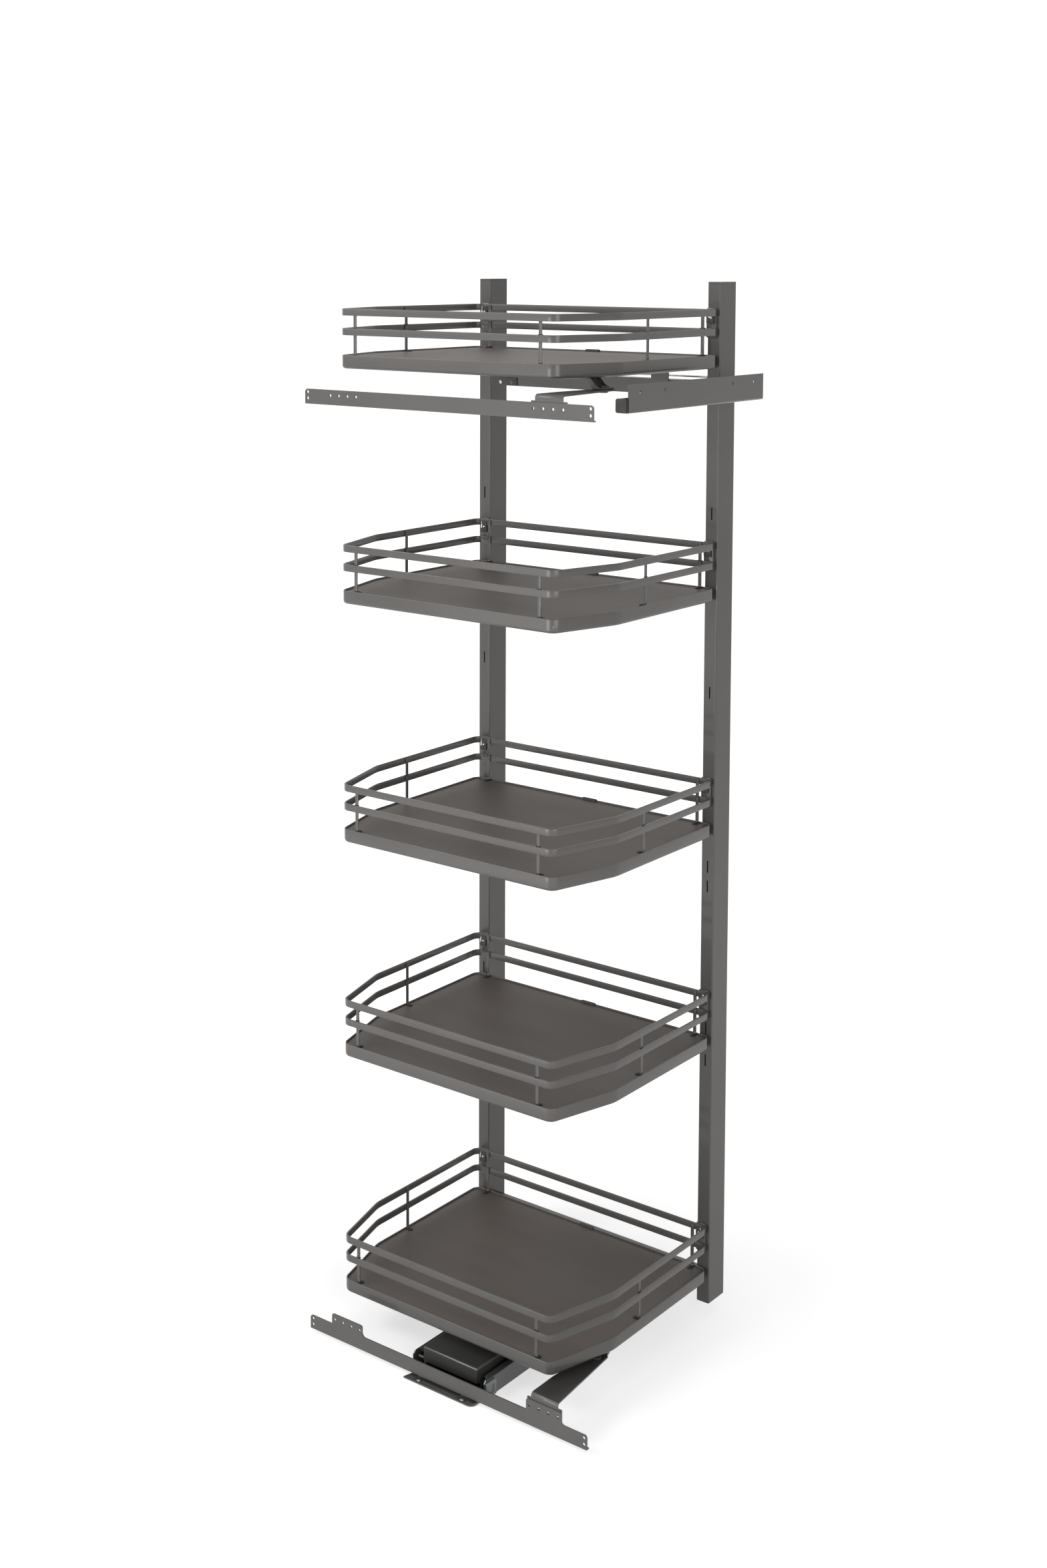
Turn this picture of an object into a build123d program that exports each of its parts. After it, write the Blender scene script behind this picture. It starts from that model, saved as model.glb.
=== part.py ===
from build123d import *
import math
import os

os.makedirs("parts", exist_ok=True)

# Swing-out pantry organiser for a tall kitchen cabinet, in millimetres.
# The origin is on the cabinet floor, midway between the two front fixing slots of the base.
# +X is to the right as seen from the room, +Y goes into the cabinet and +Z is up.

# Frame
frame_left = -280.0
frame_width = 495.0
frame_right = frame_left + frame_width
frame_middle = (frame_left + frame_right) / 2
post_width = 24.0
post_depth = 48.0
post_wall = 1.5
post_front = 445.0
post_bottom = 24.0
post_top = 1734.0
cap_height = 3.6
slot_width = 2.5
slot_height = 20.0
spare_slots = [443.0, 498.0, 739.0, 772.0, 1063.5, 1358.5]
crossbar_depth = 25.0
crossbar_height = 24.5
top_crossbar_bottom = 1549.0
bottom_crossbar_bottom = 48.0

# Trays
tray_bottoms = [1595.0, 1216.7, 825.4, 466.5, 64.7]
tray_rear = 441.4
tray_bend = 167.4
tray_front = 46.7
tray_half = frame_width / 2
tray_front_half = 212.6
rear_radius = 15.0
bend_radius = 60.0
front_radius = 17.0
rim_height = 21.9
rim_wall = 2.0
pan_floor = 1.2
panel_thickness = 18.0
rail_bar = 2.8
rail_height = 11.3
top_rail_low = 84.3
middle_rail_low = 53.1
upright_width = 6.0
upright_thickness = 2.4
foot_length = 10.0
front_upright_x = 183.5
side_upright_y = 243.5
rear_upright_x = 219.0
hook_height = 74.0

# Swing axis of the frame and turning axis of the door arms
swing_x = 0.0
swing_y = 457.0
arm_x = 198.0
arm_y = 145.0

# Door strips and door arms
sheet = 2.0
strip_half = 281.0
strip_front = 4.0
top_strip_bottom = 1540.0
top_strip_top = 1564.0
bottom_strip_bottom = 7.0
bottom_strip_top = 30.0
tab_top = 48.0
tab_width = 66.0
fixing_centre = 200.0
fixing_pitch = 18.0
fixing_radius = 2.25
end_hole_radius = 2.5
arm_sheet = 2.5
arm_width = 50.0
arm_far = 161.0
top_arm_level = 1576.0
bottom_arm_level = 58.8
flange_width = 64.6
flange_height = 22.0

# Base and carriage
base_half = 73.0
base_front = 21.0
base_rear = 500.0
base_height = 32.0
base_sheet = 2.0
slot_spacing = 88.0
carriage_half = 54.5
cover_front = 25.5
cover_rear = 495.0
cover_bottom = 19.0
cover_top = 43.5

# Side rail on the right cabinet wall
wall_x = 282.0
side_rail_front = 91.0
side_rail_rear = 469.0
side_rail_bottom = 1547.0
side_rail_top = 1589.0
channel_width = 22.0
channel_lip = 1568.0


def block(x0, x1, y0, y1, z0, z1):
    """A rectangular block between three pairs of coordinates."""
    centre = Pos((x0 + x1) / 2, (y0 + y1) / 2, (z0 + z1) / 2)
    return centre * Box(x1 - x0, y1 - y0, z1 - z0)


def upright_rod(x, y, z0, z1, radius):
    """A round rod standing along Z."""
    return Pos(x, y, (z0 + z1) / 2) * Cylinder(radius, z1 - z0)


def rod_along_y(x, z, y0, y1, radius):
    """A round rod lying along Y."""
    return Pos(x, (y0 + y1) / 2, z) * Rot(90, 0, 0) * Cylinder(radius, y1 - y0)


def rod_along_x(y, z, x0, x1, radius):
    """A round rod lying along X."""
    return Pos((x0 + x1) / 2, y, z) * Rot(0, 90, 0) * Cylinder(radius, x1 - x0)


def prism(x, y, z0, z1, radius, sides):
    """An upright prism with a regular outline."""
    return Pos(x, y, z0) * extrude(RegularPolygon(radius, sides), amount=z1 - z0)


def save(node, shapes):
    """Writes one node, made of one solid or of several separate solids."""
    solids = []
    for shape in shapes:
        solids.extend(shape.solids())
    whole = solids[0] if len(solids) == 1 else Compound(children=solids)
    export_step(whole, f"parts/{node}.step")


def soft_corner(before, corner, after, radius, facets):
    """Points that turn a corner in flat facets, each of which touches an arc of this radius."""
    back = Vector(before[0] - corner[0], before[1] - corner[1]).normalized()
    ahead = Vector(after[0] - corner[0], after[1] - corner[1]).normalized()
    half = math.acos(back.dot(ahead)) / 2
    centre = Vector(*corner) + (back + ahead).normalized() * (radius / math.sin(half))
    turn = math.pi - 2 * half
    step = turn / (facets + 1)
    middle = math.atan2(-(back + ahead).Y, -(back + ahead).X)
    sense = 1 if back.cross(ahead).Z < 0 else -1
    reach = radius / math.cos(step / 2)
    angles = [middle + sense * (step * (k + 0.5) - turn / 2) for k in range(facets + 1)]
    return [(centre.X + reach * math.cos(a), centre.Y + reach * math.sin(a)) for a in angles]


def tray_plan(inset):
    """The tray's outline in plan, moved inwards by inset: straight rear, chamfered front corners."""
    run_x = tray_half - tray_front_half
    run_y = tray_bend - tray_front
    length = math.hypot(run_x, run_y)
    nx = run_y / length
    ny = -run_x / length
    reach = nx * tray_half + ny * tray_bend - inset
    side = tray_half - inset
    rear = tray_rear - inset
    front = tray_front + inset
    bend = (reach - nx * side) / ny
    nose = (reach - ny * front) / nx
    corners = [(side, rear), (-side, rear), (-side, bend), (-nose, front), (nose, front), (side, bend)]
    radii = [rear_radius, rear_radius, bend_radius, front_radius, front_radius, bend_radius]
    facets = [3, 3, 1, 3, 3, 1]
    points = []
    for i, corner in enumerate(corners):
        after = corners[(i + 1) % 6]
        points += soft_corner(corners[i - 1], corner, after, radii[i] - inset, facets[i])
    return Pos(frame_middle, 0) * Polygon(*points, align=None)


def low_edges(solid):
    """The edges of the solid's underside."""
    return solid.edges().group_by(Axis.Z)[0]


# Tray pieces, made once at height zero and then lifted to each level
pan_outside = extrude(tray_plan(0), amount=rim_height)
pan_outside = chamfer(low_edges(pan_outside), 3.8)
pan_inside = Pos(0, 0, pan_floor) * extrude(tray_plan(rim_wall), amount=rim_height)
pan_inside = chamfer(low_edges(pan_inside), 3.0)
tray_pan = pan_outside - pan_inside

panel_level = pan_floor + panel_thickness
tray_panel = Pos(0, 0, pan_floor) * extrude(tray_plan(rim_wall), amount=panel_thickness)
tray_panel = chamfer(low_edges(tray_panel), 3.2)

rail_ring = extrude(tray_plan(0) - tray_plan(rail_bar), amount=rail_height)

upright_top = top_rail_low + rail_height


def upright(x, y, inward_x, inward_y):
    """A flat strip that stands inside the rails at x, y, with a foot bent inwards over the panel."""
    across_x = upright_thickness if inward_x else upright_width
    across_y = upright_width if inward_x else upright_thickness
    cx = x + inward_x * across_x / 2
    cy = y + inward_y * across_y / 2
    strip = Pos(cx, cy, (panel_level + upright_top) / 2)
    strip = strip * Box(across_x, across_y, upright_top - panel_level)
    fx = x + inward_x * foot_length / 2
    fy = y + inward_y * foot_length / 2
    foot = Pos(fx, fy, panel_level + 0.8)
    foot = foot * Box(
        foot_length if inward_x else upright_width,
        upright_width if inward_x else foot_length,
        1.6,
    )
    return strip + foot


upright_set = []
for side in (-1, 1):
    front_y = tray_front + rail_bar
    rear_y = tray_rear - rail_bar
    side_x = frame_middle + side * (tray_half - rail_bar)
    upright_set.append(upright(frame_middle + side * front_upright_x, front_y, 0, 1))
    upright_set.append(upright(frame_middle + side * rear_upright_x, rear_y, 0, -1))
    upright_set.append(upright(side_x, side_upright_y, -side, 0))

# Hook brackets: a plate across the rear of both rails and a hook that drops behind the post's wall
slot_centres = [frame_left + post_width / 2, frame_right - post_width / 2]
hook_set = []
hook_screw_set = []
for slot_x in slot_centres:
    inward = 1 if slot_x < frame_middle else -1
    plate_x = slot_x + inward * 3.0
    plate = block(plate_x - 9, plate_x + 9, tray_rear, post_front - 0.2, 49.0, 97.0)
    tongue = block(slot_x - 1, slot_x + 1, post_front - 0.4, 452, hook_height - 5, hook_height + 8)
    drop = block(slot_x - 1, slot_x + 1, post_front + 2.2, 452, hook_height - 16, hook_height + 8)
    hook_set.append(plate + tongue + drop)
    screw_x = slot_x + inward * 7.0
    head = extrude(Plane.XZ * RegularPolygon(3.2, 6), amount=2.0)
    hook_screw_set.append(Pos(screw_x, tray_rear, hook_height) * head)

# Spring clip over the middle of the rear rim
clip_outer = block(frame_middle - 14, frame_middle + 14, tray_rear, tray_rear + 1.2, 11.0, 23.5)
clip_top = block(frame_middle - 14, frame_middle + 14, tray_rear - 4.2, tray_rear + 1.2, rim_height, 23.5)
clip_inner = block(frame_middle - 14, frame_middle + 14, tray_rear - 4.2, tray_rear - 3.0, 19.2, 23.5)
rim_clip = clip_outer + clip_top + clip_inner

all_hooks = []
all_screws = []
all_clips = []
for number, level in enumerate(tray_bottoms, start=1):
    lift = Pos(0, 0, level)
    save(f"tray_pan_{number}", [lift * tray_pan])
    save(f"tray_panel_{number}", [lift * tray_panel])
    save(f"top_rail_{number}", [lift * Pos(0, 0, top_rail_low) * rail_ring])
    save(f"middle_rail_{number}", [lift * Pos(0, 0, middle_rail_low) * rail_ring])
    save(f"uprights_{number}", [lift * piece for piece in upright_set])
    all_hooks.extend(lift * piece for piece in hook_set)
    all_screws.extend(lift * piece for piece in hook_screw_set)
    all_clips.append(lift * rim_clip)
save("hook_brackets", all_hooks)
save("hook_screws", all_screws)
save("rim_clips", all_clips)


# Posts: rectangular tube with rounded corners, hook slots in the front wall
def post(left):
    tube_top = post_top - cap_height
    outer = RectangleRounded(post_width, post_depth, 2.0)
    inner = Rectangle(post_width - 2 * post_wall, post_depth - 2 * post_wall)
    tube = extrude(outer - inner, amount=tube_top - post_bottom)
    tube = Pos(left + post_width / 2, post_front + post_depth / 2, post_bottom) * tube
    centre = left + post_width / 2
    heights = spare_slots + [level + hook_height for level in tray_bottoms]
    for height in heights:
        tube -= block(
            centre - slot_width / 2,
            centre + slot_width / 2,
            post_front - 1,
            post_front + 4,
            height - slot_height / 2,
            height + slot_height / 2,
        )
    return tube


save("left_post", [post(frame_left)])
save("right_post", [post(frame_right - post_width)])

# Post caps: a plate on the top end with a plug inside, and a flush plug in the bottom end
caps = []
for left in (frame_left, frame_right - post_width):
    centre_x = left + post_width / 2
    centre_y = post_front + post_depth / 2
    plug = Rectangle(post_width - 2 * post_wall - 0.4, post_depth - 2 * post_wall - 0.4)
    plate = chamfer(Rectangle(post_width, post_depth).vertices(), 1.2)
    plate = extrude(plate, amount=cap_height)
    top_cap = Pos(centre_x, centre_y, post_top - cap_height) * plate
    top_cap += Pos(centre_x, centre_y, post_top - cap_height - 10) * extrude(plug, amount=10)
    caps.append(top_cap)
    caps.append(Pos(centre_x, centre_y, post_bottom) * extrude(plug, amount=12))
save("post_caps", caps)


# Cross bars between the posts
def crossbar(bottom):
    x0 = frame_left + post_width
    x1 = frame_right - post_width
    outside = block(x0, x1, post_front, post_front + crossbar_depth, bottom, bottom + crossbar_height)
    inside = block(
        x0 - 1,
        x1 + 1,
        post_front + post_wall,
        post_front + crossbar_depth - post_wall,
        bottom + post_wall,
        bottom + crossbar_height - post_wall,
    )
    return outside - inside


turntable_bore = 6.06
save("top_crossbar", [crossbar(top_crossbar_bottom)])
low_bar = crossbar(bottom_crossbar_bottom)
low_bar -= upright_rod(swing_x, swing_y, bottom_crossbar_bottom - 1, bottom_crossbar_bottom + 3, turntable_bore)
save("bottom_crossbar", [low_bar])

# Connecting feet of the cross bars
feet = []
for bottom in (top_crossbar_bottom, bottom_crossbar_bottom):
    for side in (-1, 1):
        inner_end = frame_middle + side * (frame_width / 2 - post_width - 60)
        outer_end = frame_middle + side * (frame_width / 2 - post_width - 2)
        low = bottom + 1.0
        foot = block(
            min(inner_end, outer_end), max(inner_end, outer_end), post_front - 2.4, post_front, low, low + 13.5
        )
        feet.append(foot)
save("crossbar_feet", feet)

# Turntable between the carriage and the frame
race_face = RegularPolygon(38, 8) - RegularPolygon(9, 8)
race_low = Pos(swing_x, swing_y, cover_top) * extrude(race_face, amount=2.3)
save("turntable_race", [race_low])
plate_level = cover_top + 2.6
turntable_plate = Pos(swing_x, swing_y, plate_level) * extrude(
    RegularPolygon(38, 8) - Circle(turntable_bore), amount=bottom_crossbar_bottom - plate_level
)
save("turntable_plate", [turntable_plate])
pin = prism(swing_x, swing_y, cover_bottom, cover_top - 1.5, 11, 8)
pin += upright_rod(swing_x, swing_y, cover_top - 1.5, 60, 6.0)
save("turntable_pin", [pin])

# Guide pin on the top cross bar: the guide arm turns around it with play
crossbar_top = top_crossbar_bottom + crossbar_height
guide_level = crossbar_top + 1.5
guide_sheet = 3.0
guide_pin = upright_rod(swing_x, swing_y, crossbar_top, guide_level + guide_sheet + 1.0, 5.0)
head_level = guide_level + guide_sheet + 1.0
guide_pin += prism(swing_x, swing_y, head_level, head_level + 2.0, 9.0, 6)
save("guide_pin", [guide_pin])

# Guide arm: a flat plate that goes back from the swing axis, round behind the right post
# and forwards again to the slider in the side rail
slider_x = wall_x - channel_width / 2
slider_y = 443.0
guide_face = Polygon(
    (swing_x - 8, swing_y),
    (swing_x + 8, swing_y),
    (swing_x + 8, 497),
    (231, 497),
    (231, slider_y + 3),
    (242, slider_y - 8),
    (slider_x, slider_y - 8),
    (slider_x + 6, slider_y),
    (slider_x, slider_y + 8),
    (247, slider_y + 8),
    (247, 505),
    (239, 513),
    (swing_x + 2, 513),
    (swing_x - 8, 503),
    align=None,
)
guide_face += Pos(swing_x, swing_y) * RegularPolygon(12.5, 12)
guide_face -= Pos(swing_x, swing_y) * Circle(6)
guide_arm = Pos(0, 0, guide_level) * extrude(guide_face, amount=guide_sheet)
save("guide_arm", [guide_arm])

# Slider in the side rail: a carrier with its stud, and two glide shoes round its ends
carrier = block(slider_x - 5, slider_x + 5, slider_y - 25, slider_y + 25, side_rail_bottom + 4, channel_lip - 1)
stud = prism(slider_x, slider_y, channel_lip - 1, guide_level, 4.5, 8)
save("slider_block", [carrier + stud])
shoes = []
for y in (slider_y - 18, slider_y + 18):
    shoe = block(
        wall_x - channel_width + 2.4,
        wall_x - 2.4,
        y - 6,
        y + 6,
        side_rail_bottom + 2.4,
        channel_lip - 0.5,
    )
    shoe -= block(slider_x - 5, slider_x + 5, y - 7, y + 7, side_rail_bottom + 4, channel_lip - 1)
    shoes.append(shoe)
save("glide_shoes", shoes)

# Side rail: a drilled plate on the cabinet wall, folded at its foot into a channel
section = Polygon(
    (wall_x, side_rail_bottom),
    (wall_x, side_rail_top),
    (wall_x - sheet, side_rail_top),
    (wall_x - sheet, side_rail_bottom + sheet),
    (wall_x - channel_width + sheet, side_rail_bottom + sheet),
    (wall_x - channel_width + sheet, channel_lip),
    (wall_x - channel_width, channel_lip),
    (wall_x - channel_width, side_rail_bottom),
    align=None,
)
fold_corners = [v for v in section.vertices() if abs(v.Y - side_rail_bottom) < 0.01]
section = fillet(fold_corners, 2.8)
rail = extrude(Plane.XZ * section, amount=side_rail_rear - side_rail_front)
rail = Pos(0, side_rail_rear, 0) * rail
rail_middle = (side_rail_front + side_rail_rear) / 2 + 1
wall_hole_level = 1577.0
for offset in (-160, -96, 96, 160):
    rail -= rod_along_x(rail_middle + offset, wall_hole_level, wall_x - 4, wall_x + 2, 2.5)
save("side_rail", [rail])

# Moulded plug that closes the front end of the channel
cap_face = chamfer(Rectangle(channel_width - 0.6, 22.0).vertices(), 1.8)
cap_centre_x = wall_x - 0.6 - channel_width / 2
plug_cap = extrude(Plane.XZ * cap_face, amount=3.2)
plug_cap = Pos(cap_centre_x, side_rail_front, side_rail_bottom + 11.0) * plug_cap
plug_cap += block(
    wall_x - channel_width + 2.3,
    wall_x - 2.3,
    side_rail_front - 0.5,
    side_rail_front + 6,
    side_rail_bottom + 2.3,
    channel_lip - 2,
)
save("rail_end_cap", [plug_cap])


# Door strips
def fixing_holes(strip, level):
    """Drills the two groups of four fixing holes at one level."""
    for side in (-1, 1):
        for step in (-1.5, -0.5, 0.5, 1.5):
            x = side * fixing_centre + step * fixing_pitch
            strip -= rod_along_y(x, level, strip_front - 2, strip_front + 7, fixing_radius)
    return strip


def strip_body(face, bottom, top, end_levels):
    """Extrudes the strip's outline, adds its return lip and drills the pair of holes at each end."""
    strip = extrude(Plane.XZ * face, amount=sheet)
    strip = Pos(0, strip_front + sheet, 0) * strip
    strip += block(-strip_half, strip_half, strip_front, strip_front + 6, bottom, bottom + sheet)
    for side in (-1, 1):
        for level in end_levels:
            x = side * (strip_half - 5.6)
            strip -= rod_along_y(x, level, strip_front - 2, strip_front + 4, end_hole_radius)
    return strip


def near(vertices, x, y):
    """The vertices of a flat outline that lie at x, y."""
    return [v for v in vertices if abs(v.X - x) < 0.01 and abs(v.Y - y) < 0.01]


top_outline = Polygon(
    (-strip_half, top_strip_bottom),
    (strip_half, top_strip_bottom),
    (strip_half, top_strip_top),
    (-strip_half, top_strip_top),
    align=None,
)
upper = near(top_outline.vertices(), strip_half, top_strip_top)
upper += near(top_outline.vertices(), -strip_half, top_strip_top)
top_outline = fillet(upper, 5.5)
top_strip = strip_body(top_outline, top_strip_bottom, top_strip_top, (1559.0, 1549.0))
top_hole_level = 1555.0
top_strip = fixing_holes(top_strip, top_hole_level)
save("top_door_strip", [top_strip])

low_points = [(-strip_half, bottom_strip_bottom), (strip_half, bottom_strip_bottom)]
low_points += [(strip_half, bottom_strip_top)]
for centre in (fixing_centre, -fixing_centre):
    right = centre + tab_width / 2
    left = centre - tab_width / 2
    low_points += [(right, bottom_strip_top), (right, tab_top), (left, tab_top), (left, bottom_strip_top)]
low_points += [(-strip_half, bottom_strip_top)]
low_outline = Polygon(*low_points, align=None)
ends = near(low_outline.vertices(), strip_half, bottom_strip_top)
ends += near(low_outline.vertices(), -strip_half, bottom_strip_top)
low_outline = fillet(ends, 5.0)
for centre in (fixing_centre, -fixing_centre):
    right = centre + tab_width / 2
    left = centre - tab_width / 2
    heads = near(low_outline.vertices(), right, tab_top)
    heads += near(low_outline.vertices(), left, tab_top)
    low_outline = fillet(heads, 4.0)
    low_outline = fillet(near(low_outline.vertices(), right, bottom_strip_top), 7.0)
bottom_strip = strip_body(low_outline, bottom_strip_bottom, bottom_strip_top, (24.5, 14.5))
bottom_hole_level = 38.5
bottom_strip = fixing_holes(bottom_strip, bottom_hole_level)
save("bottom_door_strip", [bottom_strip])


# Door arms: a tapered plate, folded down behind the strip into a web with a wider fixing flange
def door_arm(level, flange_top, hole_level):
    back = strip_front + sheet
    side_view = Polygon(
        (back, flange_top - flange_height),
        (back + arm_sheet, flange_top - flange_height),
        (back + arm_sheet, level - arm_sheet),
        (arm_far, level - arm_sheet),
        (arm_far, level),
        (back, level),
        align=None,
    )
    side_view = fillet(near(side_view.vertices(), back, level), 5.5)
    side_view = fillet(near(side_view.vertices(), back + arm_sheet, level - arm_sheet), 3.0)
    plan = Polygon(
        (fixing_centre - arm_width / 2, 0),
        (fixing_centre + arm_width / 2, 0),
        (fixing_centre + arm_width / 2, 10),
        (fixing_centre + arm_width / 2 - 15, arm_far),
        (fixing_centre - arm_width / 2 + 9, arm_far),
        (fixing_centre - arm_width / 2, 62),
        align=None,
    )
    plan = chamfer(near(plan.vertices(), fixing_centre + arm_width / 2 - 15, arm_far), 2.0)
    plan = chamfer(near(plan.vertices(), fixing_centre - arm_width / 2 + 9, arm_far), 5.0)
    bent = Pos(fixing_centre - arm_width, 0, 0) * extrude(Plane.YZ * side_view, amount=2 * arm_width)
    cut = Pos(0, 0, flange_top - flange_height - 1) * extrude(plan, amount=level - flange_top + flange_height + 2)
    arm = bent & cut
    arm += block(
        fixing_centre - flange_width / 2,
        fixing_centre + flange_width / 2,
        back,
        back + arm_sheet,
        flange_top - flange_height,
        flange_top,
    )
    window = extrude(Plane.XZ * Rectangle(fixing_pitch * 3 + 5, 5.0), amount=5)
    arm -= Pos(fixing_centre, back + 4, hole_level) * window
    arm -= upright_rod(arm_x, arm_y, level - arm_sheet - 1, level + 1, 5.05)
    return arm


save("top_door_arm", [door_arm(top_arm_level, top_strip_top + 2.3, top_hole_level)])
save("bottom_door_arm", [door_arm(bottom_arm_level, tab_top + 2.3, bottom_hole_level)])

# Top pivot bracket: drops from under the top tray to the arm, and runs back to the cross bar
pad_level = top_arm_level + 0.3
strap_level = 1590.0
strap = 3.0
drop_view = Polygon(
    (arm_x + 11, pad_level),
    (arm_x + 11, pad_level + strap),
    (arm_x - 9.5, pad_level + strap),
    (arm_x - 21.5, strap_level + strap),
    (arm_x - 114, strap_level + strap),
    (arm_x - 114, strap_level),
    (arm_x - 23, strap_level),
    (arm_x - 11, pad_level),
    align=None,
)
bracket = extrude(Plane.XZ * drop_view, amount=26)
bracket = Pos(0, arm_y + 13, 0) * bracket
flange_view = Polygon(
    (arm_x + 3, pad_level + strap),
    (arm_x - 5, pad_level + strap + 4),
    (arm_x - 14, strap_level + strap),
    (arm_x - 21.5, strap_level + strap),
    (arm_x - 9.5, pad_level + strap),
    align=None,
)
for y in (arm_y - 11.4, arm_y + 13):
    bracket += Pos(0, y, 0) * extrude(Plane.XZ * flange_view, amount=1.6)
bracket += block(arm_x - 114, arm_x - 80, arm_y - 13, post_front, strap_level, strap_level + strap)
bracket += block(arm_x - 114, arm_x - 80, post_front - strap, post_front, 1551, strap_level + strap)
bracket -= block(arm_x - 3, arm_x + 3, arm_y - 3, arm_y + 3, pad_level - 1, pad_level + strap + 1)
save("top_pivot_bracket", [bracket])

# Bottom pivot bracket: a strap under the arm, back to the bottom cross bar
low_strap_level = 52.3
low_strap = 3.7
strap_plan = Polygon(
    (arm_x - 14, arm_y - 12),
    (arm_x + 9, arm_y - 12),
    (arm_x + 9, arm_y + 10),
    (arm_x - 80, post_front),
    (arm_x - 114, post_front),
    align=None,
)
strap_plan = fillet(near(strap_plan.vertices(), arm_x + 9, arm_y - 12), 8.0)
low_bracket = Pos(0, 0, low_strap_level) * extrude(strap_plan, amount=low_strap)
low_bracket += block(arm_x - 114, arm_x - 80, post_front - 3, post_front, 49, 64)
low_bracket -= block(arm_x - 3, arm_x + 3, arm_y - 3, arm_y + 3, low_strap_level - 1, low_strap_level + low_strap + 1)
save("bottom_pivot_bracket", [low_bracket])

# Rivet pins of the door arms, held in the brackets by square tenons
arm_pin_radius = 5.0
top_pin = upright_rod(arm_x, arm_y, top_arm_level - arm_sheet - 0.2, pad_level, arm_pin_radius)
top_pin += prism(arm_x, arm_y, top_arm_level - arm_sheet - 2.4, top_arm_level - arm_sheet - 0.2, 7.5, 8)
top_pin += block(arm_x - 3, arm_x + 3, arm_y - 3, arm_y + 3, pad_level, pad_level + strap)
top_pin += prism(arm_x, arm_y, pad_level + strap, pad_level + strap + 2, 6.5, 8)
low_pad = low_strap_level + low_strap
low_pin = upright_rod(arm_x, arm_y, low_pad, bottom_arm_level + 0.2, arm_pin_radius)
low_pin += prism(arm_x, arm_y, bottom_arm_level + 0.2, bottom_arm_level + 2.4, 7.5, 8)
low_pin += block(arm_x - 3, arm_x + 3, arm_y - 3, arm_y + 3, low_strap_level, low_pad)
low_pin += prism(arm_x, arm_y, low_strap_level - 2, low_strap_level, 6.5, 8)
save("door_arm_pins", [top_pin, low_pin])

# Floor base: a channel with a front fixing flange
base_profile = Polygon(
    (-base_half, 0),
    (base_half, 0),
    (base_half, base_height),
    (base_half - 10, base_height),
    (base_half - 10, base_height - base_sheet),
    (base_half - base_sheet, base_height - base_sheet),
    (base_half - base_sheet, 2.5),
    (-base_half + base_sheet, 2.5),
    (-base_half + base_sheet, base_height - base_sheet),
    (-base_half + 10, base_height - base_sheet),
    (-base_half + 10, base_height),
    (-base_half, base_height),
    align=None,
)
folds = [v for v in base_profile.vertices() if abs(abs(v.X) - base_half) < 0.01]
base_profile = fillet(folds, 2.4)
base = extrude(Plane.XZ * base_profile, amount=base_rear - base_front)
base = Pos(0, base_rear, 0) * base
for side in (-1, 1):
    inner = side * (base_half - 12)
    outer = side * (base_half - base_sheet)
    base -= block(min(inner, outer), max(inner, outer), base_front - 1, base_front + 13, 20, base_height + 1)
flange_plan = Polygon(
    (-70, -6),
    (base_half - 3, -6),
    (base_half - 3, base_front + 2),
    (-62, base_front + 2),
    align=None,
)
flange_plan = fillet(near(flange_plan.vertices(), base_half - 3, -6), 11.0)
base += extrude(flange_plan, amount=2.5)
plateau = block(-63, base_half - 3, -1, base_front + 2, 2.5, 4.0)
for side in (-1, 1):
    plateau -= prism(side * slot_spacing / 2, 0, 2, 5, 9.5, 8)
base += plateau
corner = Polygon(
    (base_front - 1, base_height - 6),
    (base_front + 6, base_height + 1),
    (base_front - 1, base_height + 1),
    align=None,
)
base -= Pos(-base_half - 1, 0, 0) * extrude(Plane.YZ * corner, amount=2 * base_half + 2)
for side in (-1, 1):
    slot = SlotOverall(9.0, 5.0)
    base -= Pos(side * slot_spacing / 2, 0, -1) * extrude(slot, amount=5)
    base -= upright_rod(side * slot_spacing / 2, base_rear - 30, -1, 4, 2.5)
save("floor_base", [base])

# Plastic clip on the right wall of the base and a catch pin on the left side of the carriage cover
clip = block(base_half, base_half + 3.5, base_front + 2, base_front + 26, 3, 27)
clip -= block(base_half + 1.5, base_half + 4, base_front + 7, base_front + 20, 8, 22)
save("base_clip", [clip])
save("catch_pin", [block(-66, -carriage_half, 25.5, 29.0, 22.5, 25.5)])


# Telescopic slides, one on each side of the carriage
def rail_section(side, web_near, web_far, lip_end, z0, z1, thickness):
    """A C-shaped rail section: a web at web_near..web_far and two lips that reach to lip_end."""
    web = block(min(side * web_near, side * web_far), max(side * web_near, side * web_far), 0, 1, z0, z1)
    lips = []
    for low in (z0, z1 - thickness):
        ends = sorted((side * web_near, side * web_far, side * lip_end))
        lips.append(block(ends[0], ends[2], 0, 1, low, low + thickness))
    return web + lips[0] + lips[1]


def stretched(section_solid, y0, y1):
    """The same section drawn out from y0 to y1."""
    face = section_solid.faces().sort_by(Axis.Y)[0]
    return Pos(0, y0, 0) * extrude(face, amount=y1 - y0, dir=(0, 1, 0))


outer_rails = []
middle_rails = []
inner_rails = []
cages = []
for side in (-1, 1):
    outer_rails.append(stretched(rail_section(side, 69.5, 71.0, 63.5, 5.0, 28.0, 1.5), 36, 490))
    middle_rails.append(stretched(rail_section(side, 66.0, 67.5, 60.0, 8.5, 24.5, 1.5), 40, 480))
    inner_rails.append(stretched(rail_section(side, 58.0, 59.5, 64.0, 11.5, 21.5, 1.5), 38, 488))
    for low in (6.8, 24.8):
        cage = sorted((side * 63.8, side * 65.6))
        cages.append(block(cage[0], cage[1], 60, 440, low, low + 1.4))
save("outer_rails", outer_rails)
save("middle_rails", middle_rails)
save("inner_rails", inner_rails)
save("ball_cages", cages)

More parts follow.
